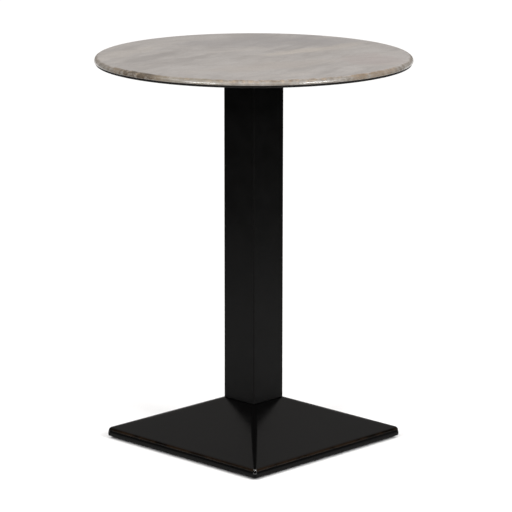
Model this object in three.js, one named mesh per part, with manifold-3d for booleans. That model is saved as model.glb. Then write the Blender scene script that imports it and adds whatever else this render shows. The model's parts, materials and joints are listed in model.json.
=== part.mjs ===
// Bistro table: a round moulded top on a square steel column and a cast pyramid base.
// Millimetres, +Z up. The origin is on the floor under the column's axis, and the base's
// edges run along X and Y. A tie rod down the column's axis clamps the whole stand together,
// and the four feet screw in and out of the base to level it.
import * as THREE from "three";
import { mergeVertices } from "three/addons/utils/BufferGeometryUtils.js";
import Module from "manifold-3d";

const wasm = await Module();
wasm.setup();

// ---------------------------------------------------------------- driving dimensions

const GAP = 0.3; // clearance between pieces that touch
const TABLE_HEIGHT = 747;
const FULL_TURN = 2 * Math.PI;

const TOP_RADIUS = 300;
const TOP_THICKNESS = 14;
const EDGE_ROUND_WIDTH = 9; // the rim rolls off over this width
const EDGE_ROUND_DROP = 8; // and down to this depth, where the rim is widest
const LAMINATE = 1.2; // thickness of the decor layer
const LIP_DEPTH = 9.3; // the decor layer ends here, turned slightly under
const LIP_RADIUS = 298.4;
const UNDERSIDE_RADIUS = 295.4; // flat part of the core's underside
const TOP_SIDES = 96;

const COLUMN_WIDTH = 80;
const COLUMN_WALL = 3;
const COLUMN_CORNER = 2;

const BASE_WIDTH = 400;
const BASE_CORNER = 4.5; // rounding of the rim's corners
// rounding of the four sloping edges, as [share of the way up a face, radius]
const RIDGE_CORNERS = [[0.02, 5.5], [0.12, 7], [0.3, 8.5], [0.5, 9], [0.75, 8.5]];
const PLATEAU_CORNER = 7;
const BASE_CLEARANCE = 5; // rim above the floor
const RIM_TOE = 0.6; // the rim's lower edge is set in by this much
const RIM_HEIGHT = 10.2; // the rim stands upright up to here
const RIM_CURVE = 30; // then leans in on this radius, as far as the shoulder's tilt
const SHOULDER_TILT = THREE.MathUtils.degToRad(15);
const SHOULDER_RADIUS = 6;
const FACE_SLOPE = THREE.MathUtils.degToRad(21.35);
const PLATEAU_WIDTH = 83.5; // flat that the column stands on
const PLATEAU_ROUND = 1; // rounding between the faces and the flat
const CASTING_WALL = 6.5;
const PLATEAU_WALL = 10;
const HOLLOW_SHOULDER = 4.5; // size of the chamfered corner inside the shoulder

const SPIGOT_WALL = 6; // square rings that centre the column on the base and on the spider
const SPIGOT_HEIGHT = 9;
const SPIGOT_SLACK = 0.8;

const HUB_RADIUS = 23;
const HUB_BOTTOM = 56;
const RIB_WIDTH = 7;

const ROD_RADIUS = 6; // M12
const ROD_HOLE_RADIUS = 6.6;
const ROD_TAIL = 6; // thread that stands out under the base nut
const NUT_ACROSS_FLATS = 18;
const NUT_HEIGHT = 10;
const BASE_WASHER = { inner: 6.5, outer: 18.5, thickness: 3 };
const SPRING_WASHER = { inner: 6.3, outer: 10.5, thickness: 2.6, slot: 2.2 };
const TOP_WASHER = { inner: 6.5, outer: 12, thickness: 2.5 };

const SPIDER_REACH = 152; // centre to the end of an arm
const SPIDER_PLATE = 6;
const SPIDER_HUB_WIDTH = 92;
const SPIDER_HUB_DEPTH = 14;
const SPIDER_HUB_CORNER = 8;
const SPIDER_BOSS_RADIUS = 20;
const SPIDER_BOSS_DEPTH = 29;
const ARM_ROOT_WIDTH = 44;
const ARM_TIP_WIDTH = 28;
const ARM_RIB_WIDTH = 9;
const ARM_RIB_REACH = 100;
const NUT_POCKET_RADIUS = 14.5;
const NUT_POCKET_DEPTH = 16.2;
const SCREW_POSITIONS = [114, 138]; // distances from the centre along each arm
const SCREW_HOLE_RADIUS = 3.2;

const SCREW_RADIUS = 2.5;
const SCREW_HEAD_RADIUS = 4.8;
const SCREW_HEAD_HEIGHT = 3;
const SCREW_REACH = 9; // into the core
const PILOT_DEPTH = 10;

const FOOT_OFFSET = 155; // feet at these distances along X and Y
const FOOT_BOSS_RADIUS = 12;
const FOOT_SKIN = 4; // metal left above the foot's blind hole
const PAD_RADIUS = 16;
const PAD_EDGE = 2.6;
const PAD_HEIGHT = 7.2;
const PAD_NECK_RADIUS = 7;
const BALL_RADIUS = 3.6;
const BALL_HEIGHT = 5.2;
const STUD_RADIUS = 4; // M8
const STUD_NECK_RADIUS = 2.6;
const HEX_ACROSS_FLATS = 13;
const HEX_BOTTOM = 7.8;
const HEX_TOP = 10.8;

// ---------------------------------------------------------------- derived heights

const PLATEAU_HEIGHT = faceHeight(PLATEAU_WIDTH / 2);
const CORE_TOP_DEPTH = LAMINATE + GAP;
const CORE_BOTTOM = TABLE_HEIGHT - TOP_THICKNESS;
const SPIDER_TOP = CORE_BOTTOM - GAP;
const SPIDER_HUB_BOTTOM = SPIDER_TOP - SPIDER_HUB_DEPTH;
const COLUMN_BOTTOM = PLATEAU_HEIGHT + GAP;
const COLUMN_TOP = SPIDER_HUB_BOTTOM - GAP;
const POCKET_FLOOR = SPIDER_TOP - NUT_POCKET_DEPTH;
const TOP_WASHER_BOTTOM = POCKET_FLOOR + GAP;
const TOP_NUT_BOTTOM = TOP_WASHER_BOTTOM + TOP_WASHER.thickness + GAP;
const BASE_WASHER_BOTTOM = HUB_BOTTOM - GAP - BASE_WASHER.thickness;
const SPRING_WASHER_BOTTOM = BASE_WASHER_BOTTOM - GAP - SPRING_WASHER.thickness;
const BASE_NUT_BOTTOM = SPRING_WASHER_BOTTOM - GAP - NUT_HEIGHT;
const ROD_BOTTOM = BASE_NUT_BOTTOM - ROD_TAIL;
const ROD_TOP = SPIDER_TOP - 0.5;
const FOOT_BOSS_BOTTOM = HEX_TOP + GAP;

// ---------------------------------------------------------------- materials

const decorMaterial = new THREE.MeshStandardMaterial({ color: 0xaea9a5, roughness: 0.5, metalness: 0 });
const coreMaterial = new THREE.MeshStandardMaterial({ color: 0x15130f, roughness: 0.55, metalness: 0 });
const coatMaterial = new THREE.MeshStandardMaterial({ color: 0x111111, roughness: 0.42, metalness: 0.1 });
const ironMaterial = new THREE.MeshStandardMaterial({ color: 0x131313, roughness: 0.5, metalness: 0.1 });
const zincMaterial = new THREE.MeshStandardMaterial({ color: 0xb9bcc0, roughness: 0.35, metalness: 1 });
const nylonMaterial = new THREE.MeshStandardMaterial({ color: 0x1b1b1c, roughness: 0.6, metalness: 0 });

// ---------------------------------------------------------------- geometry helpers

// Geometry with only positions, its shared vertices merged, so that it is one closed surface.
function weld(geometry) {
  const plain = geometry.index ? geometry.toNonIndexed() : geometry.clone();
  plain.deleteAttribute("normal");
  plain.deleteAttribute("uv");
  return mergeVertices(plain, 1e-4);
}

function solid(geometry) {
  const welded = weld(geometry);
  return new wasm.Manifold(
    new wasm.Mesh({
      numProp: 3,
      vertProperties: welded.attributes.position.array,
      triVerts: new Uint32Array(welded.index.array),
    }),
  );
}

function geometryOf(manifold) {
  const mesh = manifold.getMesh();
  const geometry = new THREE.BufferGeometry();
  geometry.setAttribute("position", new THREE.BufferAttribute(new Float32Array(mesh.vertProperties), 3));
  geometry.setIndex(new THREE.BufferAttribute(new Uint32Array(mesh.triVerts), 1));
  return geometry;
}

// Solid of revolution about Z. The outline's points are [radius, height], listed from the
// bottom up along the outside, and they start and end on the axis or close on themselves.
function turned(outline, sides) {
  const points = outline.map(([radius, height]) => new THREE.Vector2(radius, height));
  return new THREE.LatheGeometry(points, sides).rotateX(Math.PI / 2);
}

function cylinder(radius, bottom, top, sides) {
  return turned([[0, bottom], [radius, bottom], [radius, top], [0, top]], sides);
}

function ring(inner, outer, bottom, top, sides) {
  return turned([[inner, bottom], [outer, bottom], [outer, top], [inner, top], [inner, bottom]], sides);
}

// Upright prism of a flat shape.
function prism(shape, bottom, top) {
  const options = { depth: top - bottom, bevelEnabled: false, curveSegments: 6 };
  return new THREE.ExtrudeGeometry(shape, options).translate(0, 0, bottom);
}

function polygon(points) {
  return new THREE.Shape(points.map(([x, y]) => new THREE.Vector2(x, y)));
}

function hexagon(acrossFlats) {
  const radius = acrossFlats / Math.sqrt(3);
  const corners = [0, 1, 2, 3, 4, 5].map((k) => (k * Math.PI) / 3);
  return polygon(corners.map((angle) => [radius * Math.cos(angle), radius * Math.sin(angle)]));
}

// Outline of a square with round corners, anticlockwise from the corner in +X +Y.
function roundedSquare(half, corner, steps) {
  const outline = [];
  for (let side = 0; side < 4; side++) {
    const start = (side * Math.PI) / 2;
    const middle = start + Math.PI / 4;
    const centre = (half - corner) * Math.SQRT2;
    for (let step = 0; step <= steps; step++) {
      const angle = start + (step / steps) * (Math.PI / 2);
      outline.push([
        centre * Math.cos(middle) + corner * Math.cos(angle),
        centre * Math.sin(middle) + corner * Math.sin(angle),
      ]);
    }
  }
  return outline;
}

// Solid through a stack of rounded squares: levels are { half, corner, z }, from the bottom up.
function squareLoft(levels, steps) {
  const rings = levels.map(({ half, corner, z }) =>
    roundedSquare(half, corner, steps).map(([x, y]) => new THREE.Vector3(x, y, z)),
  );
  const bottom = new THREE.Vector3(0, 0, levels[0].z);
  const top = new THREE.Vector3(0, 0, levels[levels.length - 1].z);
  const last = rings.length - 1;
  const count = rings[0].length;
  const points = [];
  for (let i = 0; i < count; i++) {
    const next = (i + 1) % count;
    points.push(bottom, rings[0][next], rings[0][i]);
    points.push(top, rings[last][i], rings[last][next]);
    for (let level = 0; level < last; level++) {
      const [a, b] = [rings[level][i], rings[level][next]];
      const [c, d] = [rings[level + 1][i], rings[level + 1][next]];
      points.push(a, b, d, a, d, c);
    }
  }
  return new THREE.BufferGeometry().setFromPoints(points);
}

function union(pieces) {
  return pieces.map(solid).reduce((whole, piece) => whole.add(piece));
}

// ---------------------------------------------------------------- tabletop

// Quarter of the rim's rounding, from its widest point up to the flat, set in by a distance.
function rimCurve(inset, steps) {
  const curve = [];
  for (let step = 0; step <= steps; step++) {
    const angle = (step / steps) * (Math.PI / 2);
    curve.push([
      TOP_RADIUS - EDGE_ROUND_WIDTH + (EDGE_ROUND_WIDTH - inset) * Math.cos(angle),
      TABLE_HEIGHT - EDGE_ROUND_DROP + (EDGE_ROUND_DROP - inset) * Math.sin(angle),
    ]);
  }
  return curve;
}

function tabletopDecor() {
  const lipBottom = TABLE_HEIGHT - LIP_DEPTH;
  const outline = [
    [0, TABLE_HEIGHT - LAMINATE],
    ...rimCurve(LAMINATE, 4).reverse(),
    [LIP_RADIUS - 0.2, lipBottom + 0.3],
    [LIP_RADIUS, lipBottom],
    [TOP_RADIUS - 0.6, lipBottom + 0.3],
    ...rimCurve(0, 6),
    [0, TABLE_HEIGHT],
  ];
  return turned(outline, TOP_SIDES);
}

function screwPlaces() {
  const places = [];
  for (let arm = 0; arm < 4; arm++) {
    const angle = (arm * Math.PI) / 2;
    for (const reach of SCREW_POSITIONS) {
      places.push([reach * Math.cos(angle), reach * Math.sin(angle)]);
    }
  }
  return places;
}

function tabletopCore() {
  const shoulder = TABLE_HEIGHT - LIP_DEPTH - GAP;
  const outline = [
    [0, CORE_BOTTOM],
    [UNDERSIDE_RADIUS, CORE_BOTTOM],
    [UNDERSIDE_RADIUS + 1.7, CORE_BOTTOM + 0.8],
    [LIP_RADIUS - 0.6, shoulder - 0.8],
    [LIP_RADIUS - 0.8, shoulder],
    ...rimCurve(LAMINATE + GAP, 4),
    [0, TABLE_HEIGHT - CORE_TOP_DEPTH],
  ];
  let core = solid(turned(outline, TOP_SIDES));
  for (const [x, y] of screwPlaces()) {
    const pilot = cylinder(SCREW_RADIUS + GAP, CORE_BOTTOM - 1, CORE_BOTTOM + PILOT_DEPTH, 10);
    core = core.subtract(solid(pilot.translate(x, y, 0)));
  }
  return geometryOf(core);
}

// ---------------------------------------------------------------- spider under the top

function armPlate() {
  const root = ARM_ROOT_WIDTH / 2;
  const tip = ARM_TIP_WIDTH / 2;
  const shape = new THREE.Shape();
  shape.moveTo(0, -root);
  shape.lineTo(SPIDER_REACH - tip, -tip);
  shape.absarc(SPIDER_REACH - tip, 0, tip, -Math.PI / 2, Math.PI / 2, false);
  shape.lineTo(0, root);
  shape.closePath();
  return prism(shape, SPIDER_TOP - SPIDER_PLATE, SPIDER_TOP);
}

// Upright rib that tapers from the hub's depth to the plate, on the arm along +X.
function armRib() {
  const profile = polygon([
    [0, SPIDER_HUB_BOTTOM + 1],
    [SPIDER_HUB_WIDTH / 2, SPIDER_HUB_BOTTOM + 1],
    [ARM_RIB_REACH, SPIDER_TOP - SPIDER_PLATE],
    [ARM_RIB_REACH, SPIDER_TOP - 1],
    [0, SPIDER_TOP - 1],
  ]);
  return prism(profile, -ARM_RIB_WIDTH / 2, ARM_RIB_WIDTH / 2).rotateX(Math.PI / 2);
}

function spigot(bottom, top) {
  const half = COLUMN_WIDTH / 2 - COLUMN_WALL - SPIGOT_SLACK;
  const outer = squareLoft([{ half, corner: 3, z: bottom }, { half, corner: 3, z: top }], 2);
  const hollow = half - SPIGOT_WALL;
  const levels = [{ half: hollow, corner: 2, z: bottom - 1 }, { half: hollow, corner: 2, z: top + 1 }];
  return solid(outer).subtract(solid(squareLoft(levels, 2)));
}

function topSpider() {
  const hub = squareLoft(
    [
      { half: SPIDER_HUB_WIDTH / 2 - 1.5, corner: SPIDER_HUB_CORNER - 1.5, z: SPIDER_HUB_BOTTOM },
      { half: SPIDER_HUB_WIDTH / 2, corner: SPIDER_HUB_CORNER, z: SPIDER_HUB_BOTTOM + 1.5 },
      { half: SPIDER_HUB_WIDTH / 2, corner: SPIDER_HUB_CORNER, z: SPIDER_TOP },
    ],
    3,
  );
  const boss = cylinder(SPIDER_BOSS_RADIUS, SPIDER_TOP - SPIDER_BOSS_DEPTH, SPIDER_TOP - 1, 24);
  let spider = union([hub, boss]).add(spigot(SPIDER_HUB_BOTTOM - SPIGOT_HEIGHT, SPIDER_HUB_BOTTOM + 1));
  for (let arm = 0; arm < 4; arm++) {
    const angle = (arm * Math.PI) / 2;
    spider = spider.add(union([armPlate().rotateZ(angle), armRib().rotateZ(angle)]));
  }
  const pocket = cylinder(NUT_POCKET_RADIUS, POCKET_FLOOR, SPIDER_TOP + 1, 24);
  const bore = cylinder(ROD_HOLE_RADIUS, SPIDER_TOP - SPIDER_BOSS_DEPTH - 1, SPIDER_TOP, 24);
  spider = spider.subtract(solid(pocket)).subtract(solid(bore));
  for (const [x, y] of screwPlaces()) {
    const hole = cylinder(SCREW_HOLE_RADIUS, SPIDER_TOP - SPIDER_PLATE - 1, SPIDER_TOP + 1, 12);
    spider = spider.subtract(solid(hole.translate(x, y, 0)));
  }
  return geometryOf(spider);
}

// Pan-head screw, head down, through the spider into the core.
function topScrew() {
  const headTop = SPIDER_TOP - SPIDER_PLATE - GAP;
  const headBottom = headTop - SCREW_HEAD_HEIGHT;
  const tip = CORE_BOTTOM + SCREW_REACH;
  const outline = [
    [0, headBottom],
    [SCREW_HEAD_RADIUS * 0.6, headBottom],
    [SCREW_HEAD_RADIUS * 0.92, headBottom + SCREW_HEAD_HEIGHT * 0.35],
    [SCREW_HEAD_RADIUS, headTop],
    [SCREW_RADIUS, headTop],
    [SCREW_RADIUS, tip - 3],
    [0.6, tip],
    [0, tip],
  ];
  return turned(outline, 10);
}

// ---------------------------------------------------------------- column and tie rod

function column() {
  const tube = (half, corner, extra) => {
    const ends = [COLUMN_BOTTOM - extra, COLUMN_TOP + extra];
    return solid(squareLoft(ends.map((z) => ({ half, corner, z })), 4));
  };
  const outside = tube(COLUMN_WIDTH / 2, COLUMN_CORNER, 0);
  const inside = tube(COLUMN_WIDTH / 2 - COLUMN_WALL, COLUMN_CORNER / 2, 1);
  return geometryOf(outside.subtract(inside));
}

function tieRod() {
  const outline = [
    [0, ROD_BOTTOM],
    [ROD_RADIUS - 1, ROD_BOTTOM],
    [ROD_RADIUS, ROD_BOTTOM + 1],
    [ROD_RADIUS, ROD_TOP - 1],
    [ROD_RADIUS - 1, ROD_TOP],
    [0, ROD_TOP],
  ];
  return turned(outline, 20);
}

// Hexagon nut with its corners turned off at both ends.
function nut(bottom) {
  const corner = NUT_ACROSS_FLATS / Math.sqrt(3);
  const chamfer = corner - NUT_ACROSS_FLATS / 2;
  const top = bottom + NUT_HEIGHT;
  const body = prism(hexagon(NUT_ACROSS_FLATS), bottom, top);
  const turnedBlank = turned(
    [
      [0, bottom],
      [NUT_ACROSS_FLATS / 2 - 0.3, bottom],
      [corner + 0.1, bottom + chamfer],
      [corner + 0.1, top - chamfer],
      [NUT_ACROSS_FLATS / 2 - 0.3, top],
      [0, top],
    ],
    24,
  );
  const bore = cylinder(ROD_RADIUS + GAP, bottom - 1, top + 1, 20);
  return geometryOf(solid(body).intersect(solid(turnedBlank)).subtract(solid(bore)));
}

function washer({ inner, outer, thickness }, bottom) {
  return ring(inner, outer, bottom, bottom + thickness, 24);
}

// Split ring: its two ends face each other across a narrow slot.
function springWasher() {
  const { inner, outer, thickness, slot } = SPRING_WASHER;
  const half = slot / 2 / outer;
  const shape = new THREE.Shape();
  shape.absarc(0, 0, outer, half, FULL_TURN - half, false);
  shape.absarc(0, 0, inner, FULL_TURN - half * 1.6, half * 1.6, true);
  shape.closePath();
  const options = { depth: thickness, bevelEnabled: false, curveSegments: 20 };
  return new THREE.ExtrudeGeometry(shape, options).translate(0, 0, SPRING_WASHER_BOTTOM);
}

// ---------------------------------------------------------------- base casting

// The rim's outline from its upright part to the top of the shoulder: distances from the axis
// and heights.
function rimOutline(steps) {
  const half = BASE_WIDTH / 2;
  const lean = half - RIM_CURVE * (1 - Math.cos(SHOULDER_TILT));
  const shoulder = RIM_HEIGHT + RIM_CURVE * Math.sin(SHOULDER_TILT);
  const outline = [[half, RIM_HEIGHT], [half - (half - lean) / 4, (RIM_HEIGHT + shoulder) / 2]];
  for (let step = 0; step <= steps; step++) {
    const tilt = THREE.MathUtils.lerp(SHOULDER_TILT, Math.PI / 2 - FACE_SLOPE, step / steps);
    outline.push([
      lean - SHOULDER_RADIUS * (Math.cos(SHOULDER_TILT) - Math.cos(tilt)),
      shoulder + SHOULDER_RADIUS * (Math.sin(tilt) - Math.sin(SHOULDER_TILT)),
    ]);
  }
  return outline;
}

// Height of the pyramid's outer face at a distance from the axis.
function faceHeight(distance) {
  const [shoulderEnd, shoulderTop] = rimOutline(1).at(-1);
  return shoulderTop + (shoulderEnd - distance) * Math.tan(FACE_SLOPE);
}

function outerBody() {
  const plateau = PLATEAU_WIDTH / 2;
  const rim = rimOutline(5).map(([half, z]) => ({ half, corner: BASE_CORNER, z }));
  const faceStart = rim[rim.length - 1].half;
  const faceEnd = plateau + PLATEAU_ROUND;
  const levels = [
    { half: BASE_WIDTH / 2 - RIM_TOE, corner: BASE_CORNER, z: BASE_CLEARANCE },
    ...rim,
    ...RIDGE_CORNERS.map(([share, corner]) => {
      const half = faceStart + (faceEnd - faceStart) * share;
      return { half, corner, z: faceHeight(half) };
    }),
    { half: faceEnd, corner: PLATEAU_CORNER, z: faceHeight(faceEnd) },
    { half: plateau, corner: PLATEAU_CORNER - 0.5, z: PLATEAU_HEIGHT - 0.1 },
    { half: plateau - PLATEAU_ROUND, corner: PLATEAU_CORNER - 1.5, z: PLATEAU_HEIGHT },
  ];
  return solid(squareLoft(levels, 5));
}

// Everything under the casting's wall, open at the bottom.
function innerHollow() {
  const drop = CASTING_WALL / Math.cos(FACE_SLOPE);
  const ceiling = PLATEAU_HEIGHT - PLATEAU_WALL;
  const side = BASE_WIDTH / 2 - CASTING_WALL;
  const slopeStart = side - HOLLOW_SHOULDER;
  const slopeEnd = slopeStart - (ceiling - faceHeight(slopeStart) + drop) / Math.tan(FACE_SLOPE);
  const corner = BASE_CORNER / 2;
  const levels = [
    { half: side, corner, z: BASE_CLEARANCE - 1 },
    { half: side, corner, z: RIM_HEIGHT },
    { half: side - HOLLOW_SHOULDER / 3, corner, z: RIM_HEIGHT + HOLLOW_SHOULDER },
    { half: slopeStart, corner, z: faceHeight(slopeStart) - drop },
    { half: slopeEnd, corner, z: ceiling },
  ];
  return solid(squareLoft(levels, 5));
}

// Rib on the diagonal, from the hub out to a foot boss.
function diagonalRib(angle) {
  const reach = FOOT_OFFSET * Math.SQRT2;
  const profile = polygon([
    [0, HUB_BOTTOM + 6],
    [HUB_RADIUS + 12, HUB_BOTTOM - 4],
    [reach - 12, FOOT_BOSS_BOTTOM + 4],
    [reach, FOOT_BOSS_BOTTOM + 4],
    [reach, PLATEAU_HEIGHT - 1],
    [0, PLATEAU_HEIGHT - 1],
  ]);
  return prism(profile, -RIB_WIDTH / 2, RIB_WIDTH / 2).rotateX(Math.PI / 2).rotateZ(angle);
}

function footPlaces() {
  return [[1, 1], [-1, 1], [-1, -1], [1, -1]].map(([x, y]) => [x * FOOT_OFFSET, y * FOOT_OFFSET]);
}

function baseCasting() {
  const outer = outerBody();
  const blindTop = faceHeight(FOOT_OFFSET) - FOOT_SKIN;
  const inner = [cylinder(HUB_RADIUS, HUB_BOTTOM, PLATEAU_HEIGHT - 1, 28)];
  for (let rib = 0; rib < 4; rib++) {
    inner.push(diagonalRib(Math.PI / 4 + (rib * Math.PI) / 2));
  }
  for (const [x, y] of footPlaces()) {
    const boss = cylinder(FOOT_BOSS_RADIUS, FOOT_BOSS_BOTTOM, PLATEAU_HEIGHT, 20);
    inner.push(boss.translate(x, y, 0));
  }
  let casting = outer.subtract(innerHollow()).add(union(inner).intersect(outer));
  casting = casting.add(spigot(PLATEAU_HEIGHT - 1, PLATEAU_HEIGHT + SPIGOT_HEIGHT));
  casting = casting.subtract(solid(cylinder(ROD_HOLE_RADIUS, 0, PLATEAU_HEIGHT + 5, 20)));
  for (const [x, y] of footPlaces()) {
    const hole = cylinder(STUD_RADIUS + GAP, 0, blindTop, 16);
    casting = casting.subtract(solid(hole.translate(x, y, 0)));
  }
  return geometryOf(casting);
}

// ---------------------------------------------------------------- levelling feet

// Arc of a ball's or socket's section, from one angle below its middle up to another.
function ballCurve(radius, from, to, steps) {
  const curve = [];
  for (let step = 0; step <= steps; step++) {
    const angle = THREE.MathUtils.lerp(from, to, step / steps);
    curve.push([radius * Math.cos(angle), BALL_HEIGHT + radius * Math.sin(angle)]);
  }
  return curve;
}

// Nylon pad with a socket that the stud's ball snaps into.
function footPad() {
  const socket = BALL_RADIUS + GAP;
  const mouth = Math.asin((PAD_HEIGHT - BALL_HEIGHT) / socket);
  const outline = [
    [0, 0],
    [PAD_RADIUS - 1, 0],
    [PAD_RADIUS, 0.8],
    [PAD_RADIUS, PAD_EDGE],
    [PAD_RADIUS - 1.4, PAD_EDGE + 0.9],
    [PAD_NECK_RADIUS + 1.6, PAD_HEIGHT - 1.6],
    [PAD_NECK_RADIUS, PAD_HEIGHT],
    ...ballCurve(socket, mouth, -Math.PI / 2, 5),
  ];
  outline[outline.length - 1][0] = 0;
  return turned(outline, 20);
}

// Steel stud: ball, neck, hexagon for a spanner, and the thread's outside diameter.
function footStud() {
  const threadTop = faceHeight(FOOT_OFFSET) - FOOT_SKIN - 1;
  const neck = Math.acos(STUD_NECK_RADIUS / BALL_RADIUS);
  const ball = ballCurve(BALL_RADIUS, -Math.PI / 2, neck, 5);
  ball[0][0] = 0;
  const shank = turned(
    [
      ...ball,
      [STUD_NECK_RADIUS, HEX_BOTTOM + 1],
      [STUD_RADIUS, HEX_BOTTOM + 1],
      [STUD_RADIUS, threadTop - 1],
      [STUD_RADIUS - 1, threadTop],
      [0, threadTop],
    ],
    16,
  );
  return geometryOf(solid(shank).add(solid(prism(hexagon(HEX_ACROSS_FLATS), HEX_BOTTOM, HEX_TOP))));
}

// ---------------------------------------------------------------- assembly

function piece(name, geometry, material, [x, y] = [0, 0]) {
  const mesh = new THREE.Mesh(geometry, material);
  mesh.name = name;
  mesh.position.set(x, y, 0);
  return mesh;
}

const top = new THREE.Group();
top.add(piece("tabletop_decor", tabletopDecor(), decorMaterial));
top.add(piece("tabletop_core", tabletopCore(), coreMaterial));
top.add(piece("top_spider", topSpider(), ironMaterial));
screwPlaces().forEach((place, i) => top.add(piece(`top_screw_${i + 1}`, topScrew(), zincMaterial, place)));

const stand = new THREE.Group();
stand.add(piece("column", column(), coatMaterial));
stand.add(piece("tie_rod", tieRod(), zincMaterial));
stand.add(piece("tie_rod_top_washer", washer(TOP_WASHER, TOP_WASHER_BOTTOM), zincMaterial));
stand.add(piece("tie_rod_top_nut", nut(TOP_NUT_BOTTOM), zincMaterial));
stand.add(piece("base_casting", baseCasting(), ironMaterial));
stand.add(piece("base_washer", washer(BASE_WASHER, BASE_WASHER_BOTTOM), zincMaterial));
stand.add(piece("base_spring_washer", springWasher(), zincMaterial));
stand.add(piece("base_nut", nut(BASE_NUT_BOTTOM), zincMaterial));

const feet = new THREE.Group();
footPlaces().forEach((place, i) => {
  feet.add(piece(`foot_pad_${i + 1}`, footPad(), nylonMaterial, place));
  feet.add(piece(`foot_stud_${i + 1}`, footStud(), zincMaterial, place));
});

const table = new THREE.Group();
table.add(top, stand, feet);

export default table;
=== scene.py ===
"""Looks of the bistro table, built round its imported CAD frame.

Metres, +Z up, origin on the floor under the column's axis. The base's edges run along X and Y,
so a camera that looks along a diagonal sees the base corner-on.
"""

import json
import math

import bmesh
import bpy
from mathutils import Matrix, Vector


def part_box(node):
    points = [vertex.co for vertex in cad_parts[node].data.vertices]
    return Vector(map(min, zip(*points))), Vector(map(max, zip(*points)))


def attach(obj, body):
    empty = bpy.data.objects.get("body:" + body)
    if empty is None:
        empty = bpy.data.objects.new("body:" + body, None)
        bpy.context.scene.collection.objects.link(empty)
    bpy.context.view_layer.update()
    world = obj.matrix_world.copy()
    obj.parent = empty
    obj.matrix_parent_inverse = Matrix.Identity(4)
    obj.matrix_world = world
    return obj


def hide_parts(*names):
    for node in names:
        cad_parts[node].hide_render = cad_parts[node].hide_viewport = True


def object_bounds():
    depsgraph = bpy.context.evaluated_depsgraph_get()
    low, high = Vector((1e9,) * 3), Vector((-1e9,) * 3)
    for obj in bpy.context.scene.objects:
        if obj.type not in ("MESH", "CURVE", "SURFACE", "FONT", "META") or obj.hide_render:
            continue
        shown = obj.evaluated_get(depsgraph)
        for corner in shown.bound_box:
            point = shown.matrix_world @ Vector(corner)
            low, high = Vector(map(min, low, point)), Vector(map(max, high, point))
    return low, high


MM = 0.001
TURN = 2 * math.pi

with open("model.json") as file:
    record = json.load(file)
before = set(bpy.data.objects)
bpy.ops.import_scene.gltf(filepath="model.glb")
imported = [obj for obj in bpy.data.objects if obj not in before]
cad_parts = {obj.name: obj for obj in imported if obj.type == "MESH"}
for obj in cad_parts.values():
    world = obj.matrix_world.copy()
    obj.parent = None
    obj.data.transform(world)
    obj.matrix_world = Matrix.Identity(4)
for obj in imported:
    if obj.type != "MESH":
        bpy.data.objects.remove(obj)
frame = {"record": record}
cad_box = [list(corner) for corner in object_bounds()]


# ---------------------------------------------------------------- sizes taken from the frame

top_radius, _, table_height = cad_box[1]

core_low, core_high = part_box("tabletop_core")
decor_low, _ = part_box("tabletop_decor")
spider_low, spider_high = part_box("top_spider")
column_low, column_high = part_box("column")
base_low, base_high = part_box("base_casting")
rod_low, rod_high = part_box("tie_rod")

BODY = {name: body for body, names in frame["record"]["behaviour"]["bodies"].items() for name in names}


def centre_of(node):
    low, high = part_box(node)
    return Vector(((low[0] + high[0]) / 2, (low[1] + high[1]) / 2, 0))


def put_in_scene(name, data):
    thing = bpy.data.objects.new(name, data)
    bpy.context.scene.collection.objects.link(thing)
    return thing


# ---------------------------------------------------------------- camera

CAMERA_DISTANCE = 5.228  # along the floor
CAMERA_HEIGHT = 1.5405
CAMERA_AZIMUTH = math.radians(44.42)
CAMERA_PITCH = math.radians(12.719)
CAMERA_PAN = math.radians(-0.05)
CAMERA_ROLL = math.radians(0.06)
CAMERA_LENS = 197.4


def add_camera():
    data = bpy.data.cameras.new("camera")
    data.lens = CAMERA_LENS
    data.clip_end = 100
    camera = put_in_scene("camera", data)
    turn = Matrix.Rotation(CAMERA_AZIMUTH, 4, "Z")
    place = turn @ Vector((0, -CAMERA_DISTANCE, CAMERA_HEIGHT))
    tilt = Matrix.Rotation(math.pi / 2 - CAMERA_PITCH, 4, "X")
    pan = Matrix.Rotation(CAMERA_PAN, 4, "Z")
    roll = Matrix.Rotation(CAMERA_ROLL, 4, "Z")
    camera.matrix_world = Matrix.Translation(place) @ turn @ pan @ tilt @ roll
    bpy.context.scene.camera = camera


# ---------------------------------------------------------------- mesh building

def new_mesh(name, points, faces):
    """A mesh with its doubled points merged, no collapsed faces and its faces turned outwards."""
    mesh = bpy.data.meshes.new(name)
    mesh.from_pydata([tuple(point) for point in points], [], faces)
    work = bmesh.new()
    work.from_mesh(mesh)
    bmesh.ops.remove_doubles(work, verts=work.verts, dist=1e-6)
    bmesh.ops.recalc_face_normals(work, faces=work.faces)
    work.to_mesh(mesh)
    work.free()
    return mesh


def lathe(name, outline, sides, centre=(0, 0, 0)):
    """Turned solid: outline points are (radius, height), starting and ending on the axis or closing."""
    points = []
    faces = []
    for radius, height in outline:
        for k in range(sides):
            angle = TURN * k / sides
            x, y = centre[0] + radius * math.cos(angle), centre[1] + radius * math.sin(angle)
            points.append((x, y, height))
    for row in range(len(outline) - 1):
        for k in range(sides):
            after = (k + 1) % sides
            corners = [row * sides + k, row * sides + after]
            corners += [(row + 1) * sides + after, (row + 1) * sides + k]
            faces.append(corners)
    return new_mesh(name, points, faces)


def arc(centre, radius, start, end, steps):
    """Points of an arc in an outline, from one angle in degrees to another."""
    angles = [math.radians(start + (end - start) * i / steps) for i in range(steps + 1)]
    return [(centre[0] + radius * math.cos(a), centre[1] + radius * math.sin(a)) for a in angles]


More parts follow.
